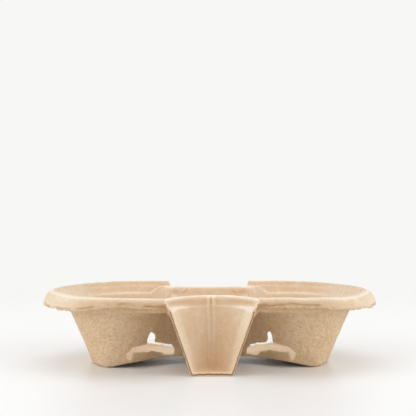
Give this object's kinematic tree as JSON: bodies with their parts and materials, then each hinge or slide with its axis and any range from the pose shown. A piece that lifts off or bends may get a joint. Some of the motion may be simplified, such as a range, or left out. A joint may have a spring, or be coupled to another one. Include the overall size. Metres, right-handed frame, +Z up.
{
  "type": "moulded pulp cup carrier",
  "caption": "Moulded pulp carrier for two cups, with round pockets, a turned-down rim and two half-funnel legs.",
  "frame": {"origin": "middle of the footprint, on the surface that the carrier stands on", "axes": "+X along the length, through both cup centres; +Y from the front leg to the back leg; +Z up"},
  "size_m": [0.22, 0.104, 0.048],
  "materials": {
    "moulded_pulp": "matte moulded fibre"
  },
  "bodies": {
    "root": {"carrier_tray": "moulded_pulp"}
  },
  "joints": []
}
